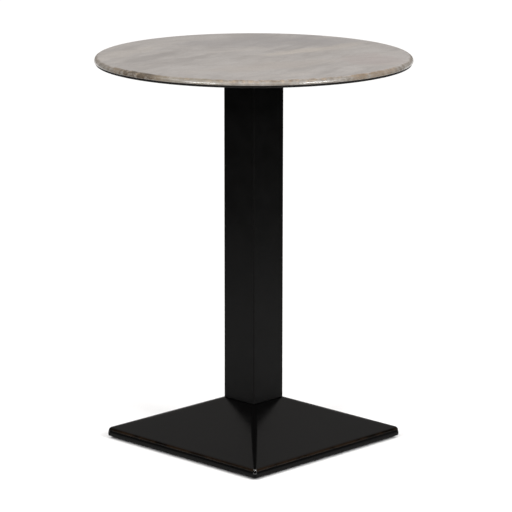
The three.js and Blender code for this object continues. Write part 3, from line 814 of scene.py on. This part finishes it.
def build_spider(material):
    top = spider_high[2]
    hub_bottom = column_high[2] + LAYER_GAP
    edge = 1.5 * MM
    step = 0.4 * MM
    levels = []
    for inset, height in ((edge, 0), (step, step), (0, edge), (0, top - hub_bottom)):
        levels.append((SPIDER_HUB_HALF - inset, SPIDER_HUB_CORNER - inset, hub_bottom + height))
    hub = square_loft("hub", levels, 8)
    boss = [(0, spider_low[2]), (SPIDER_BOSS_RADIUS, spider_low[2])]
    boss += [(SPIDER_BOSS_RADIUS, top - MM), (0, top - MM)]
    pieces = [lathe("boss", boss, 48)]
    for arm in range(4):
        pieces += [spider_arm(arm * math.pi / 2), spider_rib(arm * math.pi / 2, hub_bottom)]
    spider = union(hub, *pieces)
    spigot_half = column_high[0] - COLUMN_WALL - SPIGOT_SLACK
    spider = union(spider, square_ring(hub_bottom - 9 * MM, hub_bottom + MM, spigot_half, SPIGOT_WALL))
    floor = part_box("tie_rod_top_washer")[0][2] - LAYER_GAP
    pocket = [(0, floor), (NUT_POCKET, floor), (NUT_POCKET, top + MM), (0, top + MM)]
    bore = [(0, DRILL_START), (ROD_HOLE, DRILL_START), (ROD_HOLE, top), (0, top)]
    drills = [lathe("pocket", pocket, 48), lathe("bore", bore, 48)]
    hole = [(0, DRILL_START), (SCREW_HOLE, DRILL_START), (SCREW_HOLE, top + MM), (0, top + MM)]
    drills += [lathe("hole", hole, 24, place) for place in screw_places()]
    finish_piece("top_spider", cut(spider, *drills), material, 32)


# ---------------------------------------------------------------- fasteners

# thread radius, pitch and depth
ROD_THREAD = (6 * MM, 1.75 * MM, 0.95 * MM)
SCREW_THREAD = (2.5 * MM, 1.8 * MM, 0.75 * MM)
STUD_THREAD = (4 * MM, 1.25 * MM, 0.68 * MM)
ROD_THREADED = (45 * MM, 40 * MM)  # lengths of thread at the rod's lower and upper ends
WASHER_HOLE = 6.5 * MM
NUT_BORE = 6.3 * MM
NUT_MOUTH = 7.2 * MM


def threaded_bar(name, thread, bottom, top, plain=None, sides=28):
    """Bar with a helical thread, its ends chamfered; plain is a (bottom, top) stretch left smooth."""
    radius, pitch, depth = thread
    rows_per_turn = 8
    plain = plain or (top, top)
    heights = []
    height = bottom
    while height < top:
        heights.append(height)
        height = plain[1] if plain[0] <= height < plain[1] - pitch else height + pitch / rows_per_turn
    heights.append(top)
    points = [(0, 0, bottom), (0, 0, top)]
    for height in heights:
        chamfer = min(depth * 1.2, depth * 1.6 * (1 - min(1, (height - bottom) / pitch)))
        chamfer = max(chamfer, depth * 1.6 * (1 - min(1, (top - height) / pitch)))
        for k in range(sides):
            phase = (height / pitch - k / sides) % 1
            groove = depth * (0.5 - 0.5 * math.cos(TURN * phase)) ** 1.3
            if plain[0] <= height <= plain[1]:
                groove = depth * 0.5
            across = radius - max(groove, chamfer)
            angle = TURN * k / sides
            points.append((across * math.cos(angle), across * math.sin(angle), height))
    faces = []
    last = 2 + (len(heights) - 1) * sides
    for k in range(sides):
        after = (k + 1) % sides
        faces.append([0, 2 + after, 2 + k])
        faces.append([1, last + k, last + after])
        for row in range(len(heights) - 1):
            low = 2 + row * sides
            faces.append([low + k, low + after, low + sides + after, low + sides + k])
    return new_mesh(name, points, faces)


def build_rod(material):
    plain = (rod_low[2] + ROD_THREADED[0], rod_high[2] - ROD_THREADED[1])
    rod = threaded_bar("rod", ROD_THREAD, rod_low[2], rod_high[2], plain)
    finish_piece("tie_rod", rod, material, 60)


def build_nut(node, material):
    low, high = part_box(node)
    flats = high[1] - low[1]
    corner = flats / math.sqrt(3)
    bottom, top = low[2], high[2]
    chamfer = (corner - flats / 2) * 0.75
    body = prism("nut", hexagon(flats), bottom, top)
    blank = [(0, bottom), (flats / 2 - 0.4 * MM, bottom)]
    blank += [(corner + 0.1 * MM, bottom + chamfer), (corner + 0.1 * MM, top - chamfer)]
    blank += [(flats / 2 - 0.4 * MM, top), (0, top)]
    body = common(body, lathe("blank", blank, 72))
    bore = [(0, bottom - MM), (NUT_MOUTH, bottom - MM), (NUT_BORE, bottom + 0.9 * MM)]
    bore += [(NUT_BORE, top - 0.9 * MM), (NUT_MOUTH, top + MM), (0, top + MM)]
    finish_piece(node, cut(body, lathe("bore", bore, 48)), material, 25)


def build_washer(node, material):
    low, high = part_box(node)
    bottom, top, inner, outer = low[2], high[2], WASHER_HOLE, high[0]
    edge = 0.35 * MM
    outline = [(inner, bottom), (outer - edge, bottom), (outer, bottom + edge), (outer, top - edge)]
    outline += [(outer - edge, top), (inner + edge, top), (inner, top - edge), (inner, bottom)]
    finish_piece(node, lathe("washer", outline, 72), material, 30)


def build_spring_washer(material):
    """Split ring with a square section, its two cut ends a little out of line."""
    node = "base_spring_washer"
    low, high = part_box(node)
    inner, outer = NUT_BORE, -low[0]
    thick = (high[2] - low[2]) * 0.84
    rise = (high[2] - low[2]) - thick
    half_slot = 1.1 * MM / outer
    steps = 60
    points = []
    for step in range(steps + 1):
        angle = half_slot + (TURN - 2 * half_slot) * step / steps
        base = low[2] + rise * step / steps
        section = ((inner, base), (outer, base), (outer, base + thick), (inner, base + thick))
        for radius, height in section:
            points.append((radius * math.cos(angle), radius * math.sin(angle), height))
    faces = [[0, 1, 2, 3], [4 * steps + i for i in (3, 2, 1, 0)]]
    for step in range(steps):
        for i in range(4):
            j = (i + 1) % 4
            faces.append([4 * step + i, 4 * step + j, 4 * step + 4 + j, 4 * step + 4 + i])
    finish_piece(node, new_mesh("spring", points, faces), material, 30, bevel=0.2 * MM)


def cross_recess(depth, width, reach, bottom):
    """Cutter for a cross recess in a screw's head."""
    arms = []
    for turn in (0, math.pi / 2):
        outline = [(-reach, -width), (reach, -width), (reach, width), (-reach, width)]
        arm = prism("arm", outline, bottom - MM, bottom + depth)
        arms.append(moved(arm, Matrix.Rotation(turn, 4, "Z")))
    return union(*arms)


def screw_mesh():
    """Pan-head screw on the axis, at the height of the CAD screws."""
    low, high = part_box("top_screw_1")
    bottom, top = low[2], high[2]
    head = (high[1] - low[1]) / 2
    head_top = bottom + 3 * MM
    outline = [(0, bottom), (head * 0.5, bottom + 0.05 * MM), (head * 0.72, bottom + 0.35 * MM)]
    outline += [(head * 0.9, bottom + 1.0 * MM), (head, bottom + 2.0 * MM), (head, head_top - 0.2 * MM)]
    outline += [(head - 0.2 * MM, head_top), (1.7 * MM, head_top)]
    outline += [(1.7 * MM, head_top + 0.8 * MM), (0, head_top + 0.8 * MM)]
    head_mesh = cut(lathe("head", outline, 40), cross_recess(1.7 * MM, 0.55 * MM, 2.2 * MM, bottom))
    shank = threaded_bar("shank", SCREW_THREAD, head_top - 0.5 * MM, top, sides=20)
    return union(head_mesh, shank)


def build_screws(material):
    pattern = screw_mesh()
    for number in range(1, 9):
        node = f"top_screw_{number}"
        spin = Matrix.Rotation(number * 0.9, 4, "Z")
        screw = moved(pattern.copy(), Matrix.Translation(centre_of(node)) @ spin)
        finish_piece(node, screw, material, 40)
    bpy.data.meshes.remove(pattern)


# ---------------------------------------------------------------- feet

BALL_RADIUS = 3.6 * MM
BALL_HEIGHT = 5.2 * MM
HEX_FLATS = 13 * MM
HEX_BOTTOM = 7.8 * MM
HEX_TOP = 10.8 * MM


def pad_mesh():
    low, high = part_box("foot_pad_1")
    radius = (high[0] - low[0]) / 2
    top = high[2]
    socket = BALL_RADIUS + LAYER_GAP
    mouth = math.degrees(math.asin((top - BALL_HEIGHT) / socket))
    outline = [(0, 0), (radius - 1.2 * MM, 0), (radius - 0.4 * MM, 0.25 * MM)]
    outline += [(radius, 0.9 * MM), (radius, 2.4 * MM), (radius - 0.3 * MM, 3.0 * MM)]
    outline += [(radius - 1.4 * MM, 3.5 * MM), (12 * MM, 4.1 * MM), (9.2 * MM, 5.2 * MM)]
    outline += [(8.0 * MM, 6.4 * MM), (7.4 * MM, top - 0.15 * MM), (7.0 * MM, top)]
    ball = arc((0, BALL_HEIGHT), socket, mouth, -90, 12)
    outline += [(ball[0][0] + 0.4 * MM, top)] + ball[:-1] + [(0, BALL_HEIGHT - socket)]
    return lathe("pad", outline, 64)


def stud_mesh():
    _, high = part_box("foot_stud_1")
    ball = arc((0, BALL_HEIGHT), BALL_RADIUS, -90, 42, 12)
    outline = [(0, BALL_HEIGHT - BALL_RADIUS)] + ball[1:]
    outline += [(2.6 * MM, HEX_BOTTOM + 0.1 * MM), (2.6 * MM, HEX_TOP - MM), (0, HEX_TOP - MM)]
    flats = prism("hexagon", hexagon(HEX_FLATS), HEX_BOTTOM, HEX_TOP)
    corner = HEX_FLATS / math.sqrt(3)
    blank = [(0, HEX_BOTTOM), (HEX_FLATS / 2 - 0.2 * MM, HEX_BOTTOM), (corner, HEX_BOTTOM + 0.6 * MM)]
    blank += [(corner, HEX_TOP - 0.6 * MM), (HEX_FLATS / 2 - 0.2 * MM, HEX_TOP), (0, HEX_TOP)]
    flats = common(flats, lathe("blank", blank, 48))
    thread = threaded_bar("thread", STUD_THREAD, HEX_TOP - 0.5 * MM, high[2], sides=24)
    return union(lathe("ball", outline, 40), flats, thread)


def build_feet(nylon, zinc):
    pad, stud = pad_mesh(), stud_mesh()
    for number in (1, 2, 3, 4):
        place = centre_of(f"foot_pad_{number}")
        finish_piece(f"foot_pad_{number}", copy_of(pad, place), nylon, 40)
        finish_piece(f"foot_stud_{number}", copy_of(stud, place), zinc, 40)
    bpy.data.meshes.remove(pad)
    bpy.data.meshes.remove(stud)


# ---------------------------------------------------------------- studio

FLOOR_REACH = 40.0
WORLD_LIGHT = 0.36
SOFTBOX_SIZE = (1.1, 0.3)
SOFTBOX_DISTANCE = 3.2
SOFTBOX_ELEVATION = math.radians(31)
SOFTBOX_AIM = 0.4  # height of the point that the softboxes face
FLAG_DISTANCE = 1.5


def add_stage_mesh(name, points, faces, material):
    mesh = new_mesh(name, points, faces)
    mesh.materials.append(material)
    piece = put_in_scene(name, mesh)
    return piece


def add_floor():
    points = [(x * FLOOR_REACH, y * FLOOR_REACH, 0) for x, y in ((-1, -1), (1, -1), (1, 1), (-1, 1))]
    add_stage_mesh("floor", points, [[0, 1, 2, 3]], pale_floor())


def add_flag(name, azimuth, length, height):
    """Black studio flag on the floor, seen only as a dark reflection in the black coat."""
    turn = Matrix.Rotation(CAMERA_AZIMUTH + math.radians(azimuth), 4, "Z")
    corners = [(-1, 0), (1, 0), (1, 1), (-1, 1)]
    points = [turn @ Vector((x * length / 2, -FLAG_DISTANCE, z * height)) for x, z in corners]
    flag = add_stage_mesh(name, points, [[0, 1, 2, 3]], black_cloth())
    flag.visible_camera = False
    flag.visible_diffuse = False
    flag.visible_shadow = False


def add_world():
    world = bpy.data.worlds.new("studio")
    world.use_nodes = True
    background = world.node_tree.nodes["Background"]
    background.inputs["Color"].default_value = (1, 0.962, 0.940, 1)
    background.inputs["Strength"].default_value = WORLD_LIGHT
    bpy.context.scene.world = world


def add_softbox(name, azimuth, watts):
    """Long soft light that faces the table, at an azimuth measured from the camera's side."""
    data = bpy.data.lights.new(name, "AREA")
    data.shape = "RECTANGLE"
    data.size, data.size_y = SOFTBOX_SIZE
    data.energy = watts
    light = put_in_scene(name, data)
    turn = Matrix.Rotation(CAMERA_AZIMUTH + math.radians(azimuth), 4, "Z")
    level, height = math.cos(SOFTBOX_ELEVATION), math.sin(SOFTBOX_ELEVATION)
    place = turn @ Vector((0, -SOFTBOX_DISTANCE * level, SOFTBOX_DISTANCE * height))
    aim = Vector((0, 0, SOFTBOX_AIM)) - place
    light.matrix_world = Matrix.Translation(place) @ aim.to_track_quat("-Z", "Y").to_matrix().to_4x4()


def add_soft_sun(strength, spread, tilt):
    """Wide soft light from above, leaning towards the camera's side."""
    data = bpy.data.lights.new("overhead", "SUN")
    data.energy = strength
    data.angle = math.radians(spread)
    light = put_in_scene("overhead", data)
    turn = Matrix.Rotation(CAMERA_AZIMUTH, 4, "Z")
    light.matrix_world = turn @ Matrix.Rotation(math.radians(tilt), 4, "X")


def add_studio():
    add_floor()
    add_flag("flag_left", azimuth=-90, length=2.4, height=1.16)
    add_flag("flag_right", azimuth=90, length=2.4, height=1.11)
    add_flag("flag_front", azimuth=0, length=3.0, height=0.90)
    add_world()
    add_soft_sun(strength=2.6, spread=100, tilt=22)
    add_softbox("softbox_left", azimuth=-37, watts=32)
    add_softbox("softbox_right", azimuth=45, watts=44)
    bpy.context.scene.view_settings.view_transform = "Standard"


# ---------------------------------------------------------------- the whole table

def build_table():
    # shade, scale and depth of the orange peel, lowest and highest roughness, specular level
    coat = powder_coat("powder_coat", 0.0016, 750, 0.00009, 0.30, 0.38, 0.07)
    iron_coat = powder_coat("iron_coat", 0.0006, 420, 0.00008, 0.17, 0.23, 0.23, painted_reflection_line=True)
    shoulder_coat = powder_coat("shoulder_coat", 0.0006, 420, 0.00008, 0.22, 0.30, 0.02)
    rim_coat = powder_coat("rim_coat", 0.0006, 420, 0.00008, 0.22, 0.30, 0.07)
    corner_coat = powder_coat("corner_coat", 0.0006, 420, 0.00002, 0.08, 0.12, 1.0)
    core, zinc, nylon = moulded_core(), zinc_plate(), black_nylon()
    decor = stone_decor("stone_decor", dull=0.48, gloss=0.38, specular=0.36)
    polished_decor = stone_decor("polished_decor", dull=0.20, gloss=0.15, specular=0.80)
    build_decor(decor, polished_decor)
    build_core(core)
    build_spider(iron_coat)
    build_screws(zinc)
    build_column(coat)
    build_rod(zinc)
    build_washer("tie_rod_top_washer", zinc)
    build_nut("tie_rod_top_nut", zinc)
    build_base(iron_coat, shoulder_coat, rim_coat, corner_coat)
    build_washer("base_washer", zinc)
    build_spring_washer(zinc)
    build_nut("base_nut", zinc)
    build_feet(nylon, zinc)


add_camera()
build_table()
add_studio()
